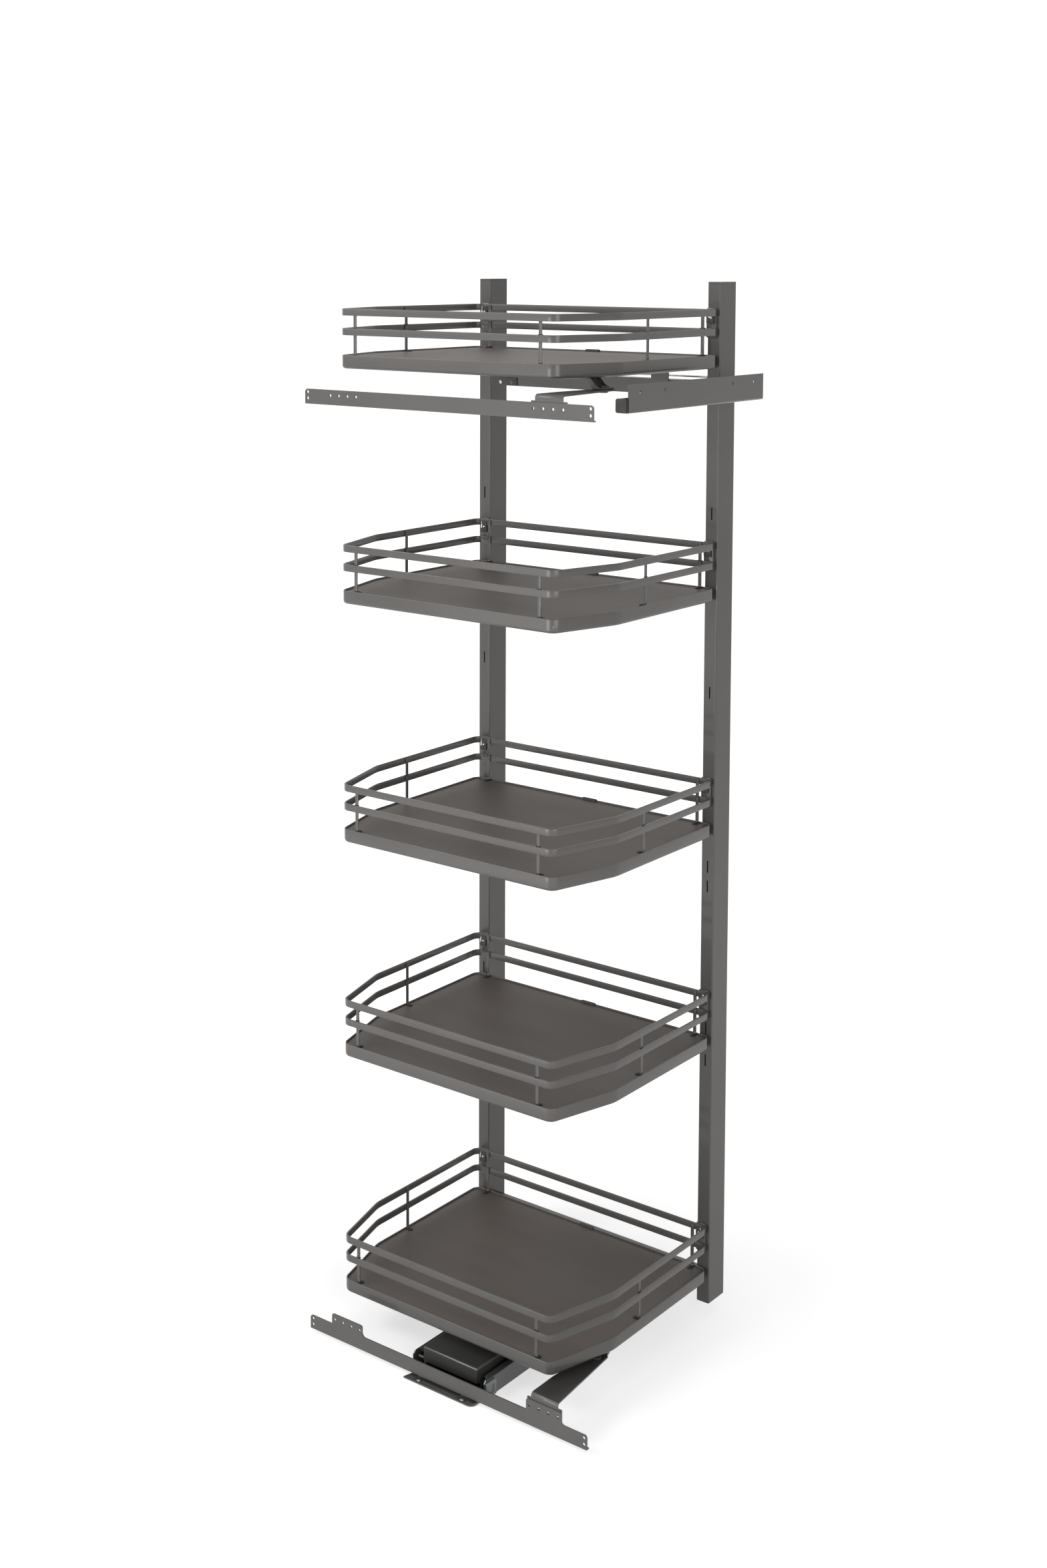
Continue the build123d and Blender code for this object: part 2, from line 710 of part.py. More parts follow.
# Carriage plate with turned-down sides that carry the inner rails
plate_profile = Polygon(
    (-58, 9),
    (-56, 9),
    (-56, 17),
    (56, 17),
    (56, 9),
    (58, 9),
    (58, cover_bottom),
    (-58, cover_bottom),
    align=None,
)
carriage_plate = extrude(Plane.XZ * plate_profile, amount=460)
save("carriage_plate", [Pos(0, 492, 0) * carriage_plate])

# Carriage cover: folded sheet with small reliefs at its front corners
cover_sheet = 1.5
cover = block(-carriage_half, carriage_half, cover_front, cover_rear, cover_bottom, cover_top)
top_front = cover.edges().filter_by(Axis.X).sort_by(Axis.Y)[:2].sort_by(Axis.Z)[-1]
top_sides = [e for e in cover.edges().filter_by(Axis.Y) if e.center().Z > cover_top - 1]
cover = fillet(top_sides + [top_front], 2.2)
cover -= block(
    -carriage_half + cover_sheet,
    carriage_half - cover_sheet,
    cover_front + cover_sheet,
    cover_rear + 1,
    cover_bottom - 1,
    cover_top - cover_sheet,
)
for side in (-1, 1):
    x = side * (carriage_half - cover_sheet / 2)
    cover -= block(x - 1.0, x + 1.0, cover_front + 1.5, cover_front + 2.6, cover_bottom - 1, cover_top - 4)
cover -= prism(swing_x, swing_y, cover_top - 3, cover_top + 1, 7.0, 8)
save("carriage_cover", [cover])
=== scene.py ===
# %% [markdown]
# # A swing-out pantry organiser
# Five sheet metal trays, railed with flat bar, hang between two upright posts. The posts
# stand on a carriage that slides out of a tall kitchen cabinet, and the whole frame then
# swings towards the door. The metal has a dark, satin powder coat, the tray floors are
# coated board, and a few small parts are zinc-plated or moulded plastic.
# The engineering solids are already packed. This script loads them as a fixed frame, in
# metres, and builds finer surfaces and finishes in the same places.

# %% Load the frame and the tools
import math
import bpy
import numpy as np
from mathutils import Matrix, Vector


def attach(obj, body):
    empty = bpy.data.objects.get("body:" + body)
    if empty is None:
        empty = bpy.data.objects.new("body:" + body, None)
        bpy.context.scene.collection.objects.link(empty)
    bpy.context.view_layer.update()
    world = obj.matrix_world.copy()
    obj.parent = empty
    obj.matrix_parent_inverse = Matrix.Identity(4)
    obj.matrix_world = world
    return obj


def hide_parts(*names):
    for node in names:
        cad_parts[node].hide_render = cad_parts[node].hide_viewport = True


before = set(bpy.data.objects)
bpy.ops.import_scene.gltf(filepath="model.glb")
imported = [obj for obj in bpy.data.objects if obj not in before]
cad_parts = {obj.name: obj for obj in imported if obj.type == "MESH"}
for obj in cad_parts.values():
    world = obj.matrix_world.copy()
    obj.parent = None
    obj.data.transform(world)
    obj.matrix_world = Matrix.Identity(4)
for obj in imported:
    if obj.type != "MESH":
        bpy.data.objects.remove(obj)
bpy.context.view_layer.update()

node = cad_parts
print("nodes in the frame:", len(node))

# %% [markdown]
# ## A grid of points becomes a surface
# Pressed sheet and bent bar keep one cross-section along a path, so every new piece here
# is a grid: rows of points, each row a ring. Four neighbours make one face. Blender could
# also build such shapes by hand, from extrusions and loop cuts. Whole numpy arrays are
# chosen, because one formula makes the shape and is easy to change.
# A closed shape encloses a positive volume when its faces point outwards, so the volume
# tells us whether to turn them. That is surer than guessing the winding by eye.

# %% Turn rings of points into closed shells
MM = 0.001


def volume_under(points, corners):
    """Six times the signed volume between triangles and the origin: the sum of a . (b x c)."""
    a, b, c = (points[corners[:, k]] for k in range(3))
    return np.einsum("ij,ij->", a, np.cross(b, c))


def shell(rings, ring=False):
    """Closed surface from an array (rows, columns, 3), as its points, quads and end faces.
    Neighbouring points of neighbouring rows make four-sided faces. With ring=True the
    last row joins the first; otherwise a flat face closes each end."""
    rings = np.asarray(rings, float)
    rows, columns = rings.shape[:2]
    points = rings.reshape(-1, 3)
    r, c = np.meshgrid(np.arange(rows if ring else rows - 1), np.arange(columns), indexing="ij")
    next_r, next_c = (r + 1) % rows, (c + 1) % columns
    quads = np.stack([r * columns + c, r * columns + next_c,
                      next_r * columns + next_c, next_r * columns + c], -1).reshape(-1, 4)
    first, last = np.arange(columns)[::-1], np.arange((rows - 1) * columns, rows * columns)
    ends = [] if ring else [first, last]
    volume = volume_under(points, quads[:, [0, 1, 2]]) + volume_under(points, quads[:, [0, 2, 3]])
    for end in ends:
        fan = np.stack([np.full(columns - 2, end[0]), end[1:-1], end[2:]], -1)
        volume += volume_under(points, fan)
    if volume < 0:
        quads, ends = quads[:, ::-1], [end[::-1] for end in ends]
    return points, quads, ends


square = np.array([(0, 0, 0), (1, 0, 0), (1, 1, 0), (0, 1, 0)], float)
sides = shell([square, square + (0, 0, 1)])
print("a box from two rings:", len(sides[1]), "sides and", len(sides[2]), "end faces")

# %% [markdown]
# ## One object from many shells
# A tray's six uprights are six loose parts of metal, and they could be six objects.

# %% Make a piece
SMOOTH_BELOW = math.radians(35)


def assemble(name, shells, material, body, replaces=()):
    """One object from several shells, shaded smooth except across its sharp edges.
    Each shell's face numbers move up by the number of points before it."""
    points, faces, start = [], [], 0
    for shell_points, quads, ends in shells:
        points.append(shell_points)
        faces += (quads + start).tolist() + [(end + start).tolist() for end in ends]
        start += len(shell_points)
    mesh = bpy.data.meshes.new(name)
    mesh.from_pydata(np.concatenate(points).tolist(), [], faces)
    mesh.polygons.foreach_set("use_smooth", np.ones(len(faces), bool))
    mesh.set_sharp_from_angle(angle=SMOOTH_BELOW)
    mesh.materials.append(material)
    mesh.update()
    piece = bpy.data.objects.new(name, mesh)
    bpy.context.scene.collection.objects.link(piece)
    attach(piece, body)
    if replaces:
        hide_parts(*replaces)
    print(name, "faces:", len(faces))
    return piece


def lifted(shells, height):
    """The same shells, every point raised by a height in millimetres."""
    return [(points + np.array([0, 0, height * MM]), quads, ends) for points, quads, ends in shells]


print("edges sharper than", round(math.degrees(SMOOTH_BELOW)), "degrees stay crisp")

# %% [markdown]
# ## Outlines that keep their shape when they shrink
# Sheet metal has the same outline again and again, only a wall thickness further in.
# Scaling an outline would make its walls uneven. If a rounded corner is kept as a centre
# and a radius, the outline further in has the same centres and smaller radii, so the
# walls stay parallel by construction.

# %% Rounded outlines
def rounded_outline(corners, radii, steps=10):
    """Arc centres, arc directions and radii for a convex outline given anticlockwise.
    At each corner the centre lies on the inner bisector, at the radius divided by the sine
    of half the corner's angle. The arc's directions run from one side's normal to the next."""
    corners, radii = np.array(corners, float), np.array(radii, float)
    back = np.roll(corners, 1, 0) - corners
    ahead = np.roll(corners, -1, 0) - corners
    back /= np.linalg.norm(back, axis=1)[:, None]
    ahead /= np.linalg.norm(ahead, axis=1)[:, None]
    half = np.arccos(np.clip(np.einsum("ij,ij->i", back, ahead), -1, 1)) / 2
    bisector = back + ahead
    bisector /= np.linalg.norm(bisector, axis=1)[:, None]
    centres = corners + bisector * (radii / np.sin(half))[:, None]
    start = np.arctan2(back[:, 0], -back[:, 1])
    turn = np.pi - 2 * half
    angle = start[:, None] + turn[:, None] * np.linspace(0, 1, steps)
    directions = np.stack([np.cos(angle), np.sin(angle)], -1)
    return centres, directions, radii


def at_inset(outline, inset):
    """The outline moved inwards: centre plus (radius minus inset) along each arc direction.
    An array of insets gives one outline for each."""
    centres, directions, radii = outline
    reach = radii - np.asarray(inset, float)[..., None]
    points = centres[:, None] + directions * reach[..., None, None]
    return points.reshape(*reach.shape[:-1], -1, 2)


def carried(outline, profile):
    """Rings in metres from a profile of (inset, height) pairs in millimetres: at each pair
    the outline with that inset lies at that height."""
    insets, heights = np.array(profile, float).T
    plan = at_inset(outline, insets)
    levels = np.broadcast_to(heights[:, None, None], (*plan.shape[:2], 1))
    return np.concatenate([plan, levels], -1) * MM


def arc(cx, cy, radius, first, last, steps=6):
    """Points of an arc from the first to the last angle, in degrees."""
    t = np.radians(np.linspace(first, last, steps))
    return list(zip(cx + radius * np.cos(t), cy + radius * np.sin(t)))


print("points in a quarter turn:", len(arc(0, 0, 1, 0, 90)))

# %% [markdown]
# ## The sizes of a tray
# The finer pieces take the space of the solids, so they repeat the solid model's sizes.
# These could be measured from the solids' boxes, but a named value also says what it is
# for. Lengths are in millimetres, and a height without a level is above a tray's underside.

# %% Sizes that repeat the solid model's
MIDDLE, HALF, FRONT_HALF = -32.5, 247.5, 212.6
REAR, BEND, FRONT = 441.4, 167.4, 46.7
LEVELS = [1595.0, 1216.7, 825.4, 466.5, 64.7]
RIM, PANEL_TOP = 21.9, 19.2
TOP_RAIL, MIDDLE_RAIL = 84.3, 53.1
BAR, BAR_HEIGHT = 2.8, 11.3
REAR_CORNER, SIDE_CORNER, FRONT_CORNER = 15.0, 60.0, 17.0
TRAY = rounded_outline(
    [(MIDDLE + HALF, REAR), (MIDDLE - HALF, REAR), (MIDDLE - HALF, BEND),
     (MIDDLE - FRONT_HALF, FRONT), (MIDDLE + FRONT_HALF, FRONT), (MIDDLE + HALF, BEND)],
    [REAR_CORNER, REAR_CORNER, SIDE_CORNER, FRONT_CORNER, FRONT_CORNER, SIDE_CORNER])
print("tray", 2 * HALF, "wide,", REAR - FRONT, "deep, outline points:", len(at_inset(TRAY, 0)))

# %% [markdown]
# ## Finishes
# Powder coat is paint baked from dust, so its surface is never quite flat: it has a fine
# orange-peel ripple, and its tone drifts a little over a long part. A picture of a surface
# could give that, but it has one size and repeats. Two noise textures are chosen, a fine
# one for bump and gloss and a broad one for tone, because they fit any piece.
# The textures read Object coordinates. Every object sits at the origin, so these are
# metres in the part's own space, and the grain has one scale on every piece.
# A bent edge also shows a small, sharp highlight. It comes from a thin clear layer on top,
# which is glossier than the coat under it.

# %% The coat material
CLEAR_GLOSS = 0.06
TONE_FROM, TONE_TO = 0.3, 0.7
GRAIN_IN_TONE = 0.45


def linear(code):
    """A six-digit screen colour turned into linear light, channel by channel."""
    values = [int(code[i:i + 2], 16) / 255 for i in (0, 2, 4)]
    return [v / 12.92 if v <= 0.04045 else ((v + 0.055) / 1.055) ** 2.4 for v in values] + [1.0]


def noise(nodes, link, place, scale, detail):
    """Output of a noise texture read at a place."""
    texture = nodes.new("ShaderNodeTexNoise")
    texture.inputs["Scale"].default_value = scale
    texture.inputs["Detail"].default_value = detail
    link(place, texture.inputs["Vector"])
    return texture.outputs["Fac"]


def coat(name, low, high, gloss, fine=1400.0, broad=7.0, depth=0.00003, metal=0.0,
         stretch=(1, 1, 1), edge=0.3, clear=0.0):
    """Surface whose tone drifts from low to high, whose roughness spans gloss, with a fine
    bump. fine and broad are the noise scales and depth is the bump's, in metres. edge is the
    reflection's strength, and clear the share of the glossier layer on top."""
    material = bpy.data.materials.new(name)
    material.use_nodes = True
    nodes, link = material.node_tree.nodes, material.node_tree.links.new
    shader = nodes["Principled BSDF"]
    shader.inputs["Metallic"].default_value = metal
    shader.inputs["Specular IOR Level"].default_value = edge
    shader.inputs["Coat Weight"].default_value = clear
    shader.inputs["Coat Roughness"].default_value = CLEAR_GLOSS
    place, turn = nodes.new("ShaderNodeTexCoord"), nodes.new("ShaderNodeMapping")
    turn.inputs["Scale"].default_value = stretch
    link(place.outputs["Object"], turn.inputs["Vector"])
    grain = noise(nodes, link, turn.outputs["Vector"], fine, 3.0)
    drift = noise(nodes, link, turn.outputs["Vector"], broad, 4.0)
    blend = nodes.new("ShaderNodeMix")
    blend.data_type = "FLOAT"
    blend.inputs["Factor"].default_value = GRAIN_IN_TONE
    link(drift, blend.inputs["A"])
    link(grain, blend.inputs["B"])
    tone = nodes.new("ShaderNodeValToRGB")
    for stop, position, code in zip(tone.color_ramp.elements, (TONE_FROM, TONE_TO), (low, high)):
        stop.position, stop.color = position, linear(code)
    link(blend.outputs["Result"], tone.inputs["Fac"])
    link(tone.outputs["Color"], shader.inputs["Base Color"])
    rough = nodes.new("ShaderNodeMapRange")
    rough.inputs["To Min"].default_value, rough.inputs["To Max"].default_value = gloss
    link(grain, rough.inputs["Value"])
    link(rough.outputs["Result"], shader.inputs["Roughness"])
    bump = nodes.new("ShaderNodeBump")
    bump.inputs["Strength"].default_value = 0.5
    bump.inputs["Distance"].default_value = depth
    link(grain, bump.inputs["Height"])
    link(bump.outputs["Normal"], shader.inputs["Normal"])
    return material


print("white in linear light:", linear("ffffff")[:3])

# %% [markdown]
# ## The finishes of this organiser
# Each finish on the real object gets one material, and the pieces share them. A material
# for every piece would allow more variety, but it would be harder to keep in tune.
# Three darker copies of the coat are painted shade. The posts' copy is partly their own
# darker tone and partly painted shade from the trays in front. Small parts in the shade take
# a duller copy, and the arms' flat plates under the trays the darkest. The base is lacquered
# black. The board's grain is stretched along the tray's width, which gives it a faint
# direction. Zinc and drawn steel are metallic: their colour tints what they reflect.

# %% Colours
POWDER = coat("powder_coat", "4d4b49", "5a5856", (0.34, 0.50), metal=0.1, edge=0.38, clear=0.35)
# Darker copy of the powder coat for the posts: partly their own tone, partly painted shade from the
# trays in front.
POST_TONE_AND_SHADE = coat("post_coat_tone_and_shade", "474543", "53514f", (0.36, 0.52), metal=0.1, edge=0.34, clear=0.3)
# Darker, duller copy of the powder coat: painted shade for small parts that stand in the shade.
SHADE = coat("powder_coat_painted_shade", "413f3d", "4c4a48", (0.5, 0.65), metal=0.1)
BLACK = coat("black_lacquer", "3f3f3e", "4a4948", (0.26, 0.40), fine=1900.0, metal=0.2,
             edge=0.7, clear=0.4)
# Darker copy of the coat for the door arms' flat plates: painted shade from the trays above them.
ARM_PLATE_PAINTED_SHADE = coat("arm_plate_painted_shade", "32312f", "3d3c3a", (0.38, 0.52), metal=0.15, edge=0.5)
PANEL = coat("coated_board", "5c5550", "69625c", (0.45, 0.62), fine=950.0, broad=16.0,
             depth=0.00006, stretch=(0.35, 1, 1), edge=0.35)
ZINC = coat("zinc_plate", "b4b4b1", "d4d3cf", (0.22, 0.38), fine=700.0, metal=1.0, depth=0.00001)
MOULDING = coat("grey_moulding", "8c8e90", "9c9ea0", (0.4, 0.55), fine=1100.0, depth=0.00002)
DARK_MOULDING = coat("black_moulding", "232323", "2e2e2d", (0.45, 0.6), fine=1100.0, depth=0.00002)
RAW_STEEL = coat("drawn_steel", "7d7c79", "989692", (0.28, 0.42), fine=900.0, metal=0.9,
                 stretch=(1, 0.05, 1), depth=0.00001)
print("finishes:", len(bpy.data.materials))

# %% [markdown]
# ## The tray pans
# A pan is one pressed sheet: a flat floor, a wall that turns up through a soft bend, and
# a rolled lip. It could be an extruded outline with Solidify and Bevel modifiers, but the
# lip would be a bevel on a thin edge, which easily folds over itself. A profile through
# the wall, carried round the tray's outline, gives floor, bend and lip at once. The lip
# and the bend are arcs in it, so light runs along them in one clean line.
# The board on the floor has a soft top edge, and its underside is cut back at the bend.

# %% Pans and floor panels
LIP, WALL_THICK, FLOOR_THICK = 1.0, 2.0, 1.2
OUTER_BEND, INNER_BEND = 5.0, 3.2
FLAT_FROM = 13.0
pan_profile = [(FLAT_FROM, 0.0)]
pan_profile += arc(OUTER_BEND, OUTER_BEND, OUTER_BEND, 270, 180, 9)
pan_profile += arc(LIP, RIM - LIP, LIP, 180, 0, 9)
pan_profile += arc(WALL_THICK + INNER_BEND, FLOOR_THICK + INNER_BEND, INNER_BEND, 180, 270, 5)
pan_profile += [(FLAT_FROM, FLOOR_THICK)]

PANEL_BOTTOM, PANEL_SIDE, PANEL_EDGE = 1.3, 2.5, 0.8
CUT_BACK_TO, CUT_UP_TO = 5.6, 4.6
panel_profile = [(FLAT_FROM, PANEL_BOTTOM), (CUT_BACK_TO, PANEL_BOTTOM), (PANEL_SIDE, CUT_UP_TO)]
panel_profile += arc(PANEL_SIDE + PANEL_EDGE, PANEL_TOP - PANEL_EDGE, PANEL_EDGE, 180, 90, 4)
panel_profile += [(FLAT_FROM, PANEL_TOP)]

pan = [shell(carried(TRAY, pan_profile))]
panel = [shell(carried(TRAY, panel_profile))]
for number, level in enumerate(LEVELS, start=1):
    assemble(f"pan_{number}", lifted(pan, level), POWDER, "frame",
             [f"tray_pan_{number}"])
    assemble(f"floor_panel_{number}", lifted(panel, level), PANEL, "frame",
             [f"tray_panel_{number}"])

# %% [markdown]
# ## The rails
# Each rail is a flat bar bent into a closed ring. Real flat bar has softened edges, never
# knife edges, because it is rolled and then coated. A curve object with a bevel profile
# could make it too. Carrying the bar's section round the pan's own outline is chosen,
# because every rail then stands exactly over its rim. The section is a rounded rectangle,
# and the last ring of points joins the first.

# %% Rails
def bar_section(thick, high, radius):
    """Closed (inset, height) profile of a flat bar with rounded edges."""
    points = []
    for cx, cz, first in ((thick - radius, high - radius, 90), (radius, high - radius, 180),
                          (radius, radius, 270), (thick - radius, radius, 360)):
        points += arc(cx, cz, radius, first - 90, first, 4)
    return points


BAR_EDGE = 0.75
bar = [shell(carried(TRAY, bar_section(BAR, BAR_HEIGHT, BAR_EDGE)), ring=True)]
for number, level in enumerate(LEVELS, start=1):
    for word, height in (("top", TOP_RAIL), ("middle", MIDDLE_RAIL)):
        assemble(f"{word}_bar_{number}", lifted(bar, level + height), POWDER, "frame",
                 [f"{word}_rail_{number}"])

# %% [markdown]
# ## Flat plates and round heads
# Pressed brackets, seats and rivet heads are small, but their soft edges catch the light.
# A cube with a Bevel modifier would do for one of them. Here there are dozens, so each
# kind is a formula: a plate is a rounded rectangle drawn in by a quarter circle at both
# faces, and a head is rings that shrink as they rise.

# %% Slabs and domes
X, Y, Z = (1, 0, 0), (0, 1, 0), (0, 0, 1)
FORWARDS = (0, -1, 0)
SUNK = 0.2


def slab(centre, u, v, size, corner=1.5, edge=0.35):
    """Flat plate whose size is its width along u, its height along v and its thickness.
    Its outline is drawn in by one minus the cosine of an angle, and its depth by one minus
    the sine, both times the edge's radius."""
    centre, u, v = (np.array(a, float) for a in (centre, u, v))
    width, height, thick = size
    a, b = width / 2, height / 2
    outline = rounded_outline([(a, b), (-a, b), (-a, -b), (a, -b)], [corner] * 4, 5)
    t = np.radians([90, 45, 0])
    insets, depths = edge * (1 - np.cos(t)), thick / 2 - edge * (1 - np.sin(t))
    plan = at_inset(outline, np.concatenate([insets, insets[::-1]]))
    through = np.concatenate([-depths, depths[::-1]])[:, None, None] * np.cross(u, v)
    return shell((centre + plan[..., :1] * u + plan[..., 1:] * v + through) * MM)


def turned(centre, axis, helper, radii, heights, around):
    """Rings about an axis: centre plus radius times a turning direction, plus height along
    the axis. The helper is any direction off the axis, and sets where a ring starts."""
    axis = np.array(axis, float)
    side = np.cross(axis, helper)
    side /= np.linalg.norm(side)
    a = np.linspace(0, 2 * np.pi, around, endpoint=False)
    rim = np.cos(a)[:, None] * side + np.sin(a)[:, None] * np.cross(axis, side)
    return np.array(centre, float) + radii[:, None, None] * rim + heights[..., None] * axis


def dome(centre, axis, radius, height):
    """Low rounded head: rings whose radius is the cosine and whose height is the sine of an
    angle, above one ring that is sunk in what carries the head."""
    t = np.linspace(0, np.pi / 2 * 0.96, 5)
    radii = np.concatenate([[1.0], np.cos(t)]) * radius
    heights = np.concatenate([[-SUNK], np.sin(t) * height])
    return shell(turned(centre, axis, (0.3, 0.5, 0.8), radii, heights[:, None], 20) * MM)


print("faces in a slab:", len(slab((0, 0, 0), X, Z, (10, 10, 2))[1]) + 2)

# %% [markdown]
# ## Strips that follow a bent line
# The uprights and the spring clips are thin strip, bent once or twice. A curve object
# could follow the bend, but its taper scales width and thickness together. Here a section
# is scaled at every point of the line, so the strip can grow wide where it stays thin, as
# a stamped strip does.

# %% Sweep a strip
def bent_strip(line, widths, thicks, rounding):
    """Rings of a flat strip along a line of (out, up) points, as the arrays out, up, across.
    A unit section with rounded edges takes the width and the thickness of each point. The
    thickness lies along the line's normal, which is its slope turned by a right angle."""
    slope = np.gradient(line, axis=0)
    slope /= np.linalg.norm(slope, axis=1)[:, None]
    normal = np.column_stack([slope[:, 1], -slope[:, 0]])
    section = np.array(bar_section(1.0, 1.0, rounding)) - 0.5
    depth = thicks[:, None] * section[:, 0]
    out = line[:, :1] + normal[:, :1] * depth
    up = line[:, 1:] + normal[:, 1:] * depth
    across = widths[:, None] * section[:, 1]
    return out, up, across


level_line = np.array([(0.0, 0.0), (1.0, 0.0), (2.0, 0.0)])
straight = bent_strip(level_line, np.ones(3), np.ones(3), 0.2)
print("a straight strip has", straight[0].shape[0], "rings of", straight[0].shape[1], "points")

# %% [markdown]
# ## The uprights
# An upright stands against the inside of both rails, bends through a right angle above
# the panel and ends in a round pad that is riveted down. Three boxes and a disc would do
# from far away, but the bend is what the eye follows. So the strip is one sweep. Its half
# width follows a circle at the top and at the pad, which rounds both ends. A rivet head
# sits at each rail and on the pad.

# %% One upright
STRIP_IN, STRIP_HALF, STRIP_THICK, STRIP_BEND = 1.2, 3.0, 2.2, 3.6
STRIP_TOP = TOP_RAIL + BAR_HEIGHT - 1.6
PAD_HALF, PAD_THICK, PAD_REACH = 4.2, 1.6, 11.5
PAD_LEVEL = PANEL_TOP + PAD_THICK / 2
STRIP_EDGE = 0.24
TOP_STEPS, PAD_STEPS, NECK_STEPS = 6, 9, 4
RAIL_RIVET, PAD_RIVET = (1.7, 0.7), (2.4, 0.9)


def upright_line():
    """Line of (inwards, up) points: down to the bend, a quarter circle, and inwards."""
    rounding = STRIP_TOP - STRIP_HALF * (1 - np.cos(np.linspace(0, np.pi / 2, TOP_STEPS)))
    fall = np.concatenate([rounding, np.linspace(STRIP_TOP - 8, PAD_LEVEL + STRIP_BEND, 4)])
    line = [(STRIP_IN, z) for z in fall]
    line += arc(STRIP_IN + STRIP_BEND, PAD_LEVEL + STRIP_BEND, STRIP_BEND, 180, 270, 7)[1:]
    line += [(s, PAD_LEVEL) for s in np.linspace(STRIP_IN + STRIP_BEND, PAD_REACH, PAD_STEPS)[1:]]
    return np.array(line)


def upright_widths(line):
    """Half width along the line: the root of one minus a square at the top, and of the
    pad's radius squared minus the distance to its centre squared at the foot. Both stop
    short of nothing, and the pad's neck stays as wide as the strip."""
    half = np.full(len(line), STRIP_HALF)
    half[:TOP_STEPS] *= np.sqrt(1 - np.linspace(0.985, 0, TOP_STEPS) ** 2)
    off_centre = line[-PAD_STEPS:, 0] - (PAD_REACH - PAD_HALF)
    half[-PAD_STEPS:] = np.sqrt(np.clip(PAD_HALF ** 2 - off_centre ** 2, 0.1, None))
    neck = slice(-PAD_STEPS, -PAD_STEPS + NECK_STEPS)
    half[neck] = np.maximum(half[neck], STRIP_HALF)
    return half


def upright(x, y, inward):
    """Strip with a rounded foot and three rivet heads, at a point on a rail's inner face."""
    origin, inward = np.array([x, y, 0.0]), np.array([*inward, 0.0])
    across = np.array([-inward[1], inward[0], 0.0])
    line = upright_line()
    thicks = np.full(len(line), STRIP_THICK)
    thicks[-PAD_STEPS:] = PAD_THICK
    out, up, side = bent_strip(line, 2 * upright_widths(line), thicks, STRIP_EDGE)
    rings = origin + side[..., None] * across + out[..., None] * inward
    rings = rings + up[..., None] * np.array(Z, float)
    face = origin + inward * (STRIP_IN + STRIP_THICK / 2)
    heads = [dome(face + np.array([0, 0, rail + BAR_HEIGHT / 2]), inward, *RAIL_RIVET)
             for rail in (MIDDLE_RAIL, TOP_RAIL)]
    pad_top = origin + inward * (PAD_REACH - PAD_HALF) + np.array([0, 0, PAD_LEVEL + PAD_THICK / 2])
    return [shell(rings * MM)] + heads + [dome(pad_top, Z, *PAD_RIVET)]


print("points along an upright:", len(upright_line()))

# %% [markdown]
# ## The black feet
# A thin black slab lies under each foot, and a thin black slab makes a black line where the
# strip passes the middle rail. The lowest part of the strip is black too. It could be a piece
# of its own, but one strip with a second material on its lowest faces has no joint to hide.

# %% Black slabs and standing strips
DARK_SLAB_REACH, DARK_SLAB_SIZE, DARK_SLAB_CORNER = 6.4, (12.6, 9.4, 0.7), 4.4
LINE_SIZE, LINE_CORNER = (2.6, 8.4, 0.9), 0.6
DARK_SLAB_LEVEL, LINE_LEVEL = PANEL_TOP + 0.15, MIDDLE_RAIL + BAR_HEIGHT + 0.35
DARK_SLAB_EDGE = 0.2
BLACK_UP_TO = PANEL_TOP + 2.5
FRONT_STAND, REAR_STAND, SIDE_STAND = 183.5, 219.0, 243.5


def dark_slabs_at_foot(x, y, inward):
    """Thin black slab under a foot, and a thin black line where the strip passes the middle rail."""
    across, along = (-inward[1], inward[0], 0.0), (*inward, 0.0)
    under = (x + inward[0] * DARK_SLAB_REACH, y + inward[1] * DARK_SLAB_REACH, DARK_SLAB_LEVEL)
    beside = (x + inward[0] * STRIP_IN, y + inward[1] * STRIP_IN, LINE_LEVEL)
    return [slab(under, along, across, DARK_SLAB_SIZE, DARK_SLAB_CORNER, DARK_SLAB_EDGE),
            slab(beside, along, across, LINE_SIZE, LINE_CORNER, DARK_SLAB_EDGE)]


def dark_below(piece, height):
    """Every face whose centre lies below the height takes a second, black finish."""
    piece.data.materials.append(DARK_MOULDING)
    centres = np.zeros(len(piece.data.polygons) * 3, np.float32)
    piece.data.polygons.foreach_get("center", centres)
    piece.data.polygons.foreach_set("material_index", (centres[2::3] < height).astype(np.int32))


standing, dark_slab_shells = [], []
for side in (-1, 1):
    for x, y, inward in ((MIDDLE + side * FRONT_STAND, FRONT + BAR, (0, 1)),
                         (MIDDLE + side * REAR_STAND, REAR - BAR, (0, -1)),
                         (MIDDLE + side * (HALF - BAR), SIDE_STAND, (-side, 0))):
        dark_slab_shells += dark_slabs_at_foot(x, y, inward)
        standing += upright(x, y, inward)
for number, level in enumerate(LEVELS, start=1):
    strips = assemble(f"strips_{number}", lifted(standing, level), POWDER, "frame",
                      [f"uprights_{number}"])
    dark_below(strips, (level + BLACK_UP_TO) * MM)
    assemble(f"foot_dark_slabs_{number}", lifted(dark_slab_shells, level), DARK_MOULDING, "frame")

# %% [markdown]
# ## Hooks and screws at the back
# At each rear corner a plate joins the two rails. A hook behind it drops into the post's
# slot, and zinc parts sit in a small recess beside it. These are pressed from flat sheet,
# so slabs describe them all. Cutting the recess with a Boolean would be truer. Instead a
# thin darker plate in front is painted shade that stands for the recess, and it leaves clean faces.

